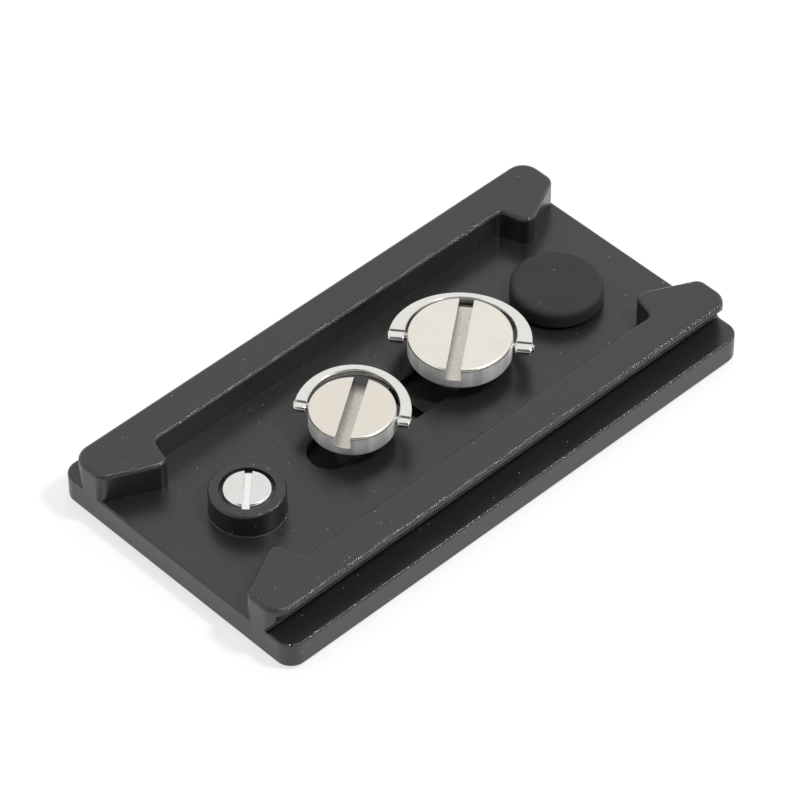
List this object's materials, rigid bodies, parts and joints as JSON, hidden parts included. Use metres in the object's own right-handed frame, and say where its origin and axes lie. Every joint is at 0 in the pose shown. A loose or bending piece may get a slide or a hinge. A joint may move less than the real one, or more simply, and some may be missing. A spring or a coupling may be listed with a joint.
{
  "type": "tripod quick release plate",
  "caption": "Long moulded camera plate with dovetail rails, sliding captive camera screws with folding rings, a sprung video pin in a boss and a rubber bumper.",
  "frame": {"origin": "centre of the plate, on the plane of the grip pad's face, which is the lowest plane", "axes": "+X along the plate towards the rubber bumper, +Y across it, +Z out of the dovetail side"},
  "size_m": [0.104, 0.0554, 0.013],
  "materials": {
    "black_nylon": "satin moulded, glass filled nylon",
    "grip_rubber": "matt ribbed",
    "bumper_rubber": "matt",
    "satin_nickel": "turned, nickel plated",
    "chrome_wire": "polished",
    "steel_pin": "ground",
    "black_steel": "blackened strip",
    "spring_steel": "oiled",
    "turned_steel": "turned",
    "bright_nickel": "bright nickel plated"
  },
  "bodies": {
    "plate": {"plate_body": "black_nylon", "grip_pad": "grip_rubber", "video_pin_plug": "bright_nickel", "video_pin_spring": "spring_steel", "rubber_bumper": "bumper_rubber"},
    "quarter_inch_slider": {"quarter_inch_slider": "black_steel"},
    "quarter_inch_clip": {"quarter_inch_clip": "spring_steel"},
    "quarter_inch_screw": {"quarter_inch_screw": "satin_nickel", "quarter_inch_left_pin": "steel_pin", "quarter_inch_right_pin": "steel_pin"},
    "quarter_inch_ring": {"quarter_inch_ring": "chrome_wire"},
    "three_eighths_slider": {"three_eighths_slider": "black_steel"},
    "three_eighths_clip": {"three_eighths_clip": "spring_steel"},
    "three_eighths_screw": {"three_eighths_screw": "satin_nickel", "three_eighths_left_pin": "steel_pin", "three_eighths_right_pin": "steel_pin"},
    "three_eighths_ring": {"three_eighths_ring": "chrome_wire"},
    "video_pin": {"video_pin": "turned_steel"}
  },
  "joints": [
    {"name": "quarter_inch_slide", "type": "slide", "parent": "plate", "child": "quarter_inch_slider", "axis": [1, 0, 0], "range_m": [-0.005, 0.0009]},
    {"name": "quarter_inch_lift", "type": "slide", "parent": "quarter_inch_slider", "child": "quarter_inch_clip", "axis": [0, 0, 1], "range_m": [-0.00295, 0]},
    {"name": "quarter_inch_spin", "type": "hinge", "parent": "quarter_inch_clip", "child": "quarter_inch_screw", "pos_m": [-0.0122, 0, 0.0086], "axis": [0, 0, 1], "continuous": true},
    {"name": "quarter_inch_ring_fold", "type": "hinge", "parent": "quarter_inch_screw", "child": "quarter_inch_ring", "pos_m": [-0.0122, 0, 0.01115], "axis": [0.5592, -0.829, 0], "range_deg": [0, 168]},
    {"name": "three_eighths_slide", "type": "slide", "parent": "plate", "child": "three_eighths_slider", "axis": [1, 0, 0], "range_m": [-0.0009, 0.0021]},
    {"name": "three_eighths_lift", "type": "slide", "parent": "three_eighths_slider", "child": "three_eighths_clip", "axis": [0, 0, 1], "range_m": [-0.00295, 0]},
    {"name": "three_eighths_spin", "type": "hinge", "parent": "three_eighths_clip", "child": "three_eighths_screw", "pos_m": [0.0125, 0, 0.0086], "axis": [0, 0, 1], "continuous": true},
    {"name": "three_eighths_ring_fold", "type": "hinge", "parent": "three_eighths_screw", "child": "three_eighths_ring", "pos_m": [0.0125, 0, 0.01085], "axis": [0.6157, -0.788, 0], "range_deg": [0, 190]},
    {"name": "video_pin_push", "type": "slide", "parent": "plate", "child": "video_pin", "axis": [0, 0, -1], "range_m": [0, 0.0033], "deforming": ["video_pin_spring"]}
  ]
}
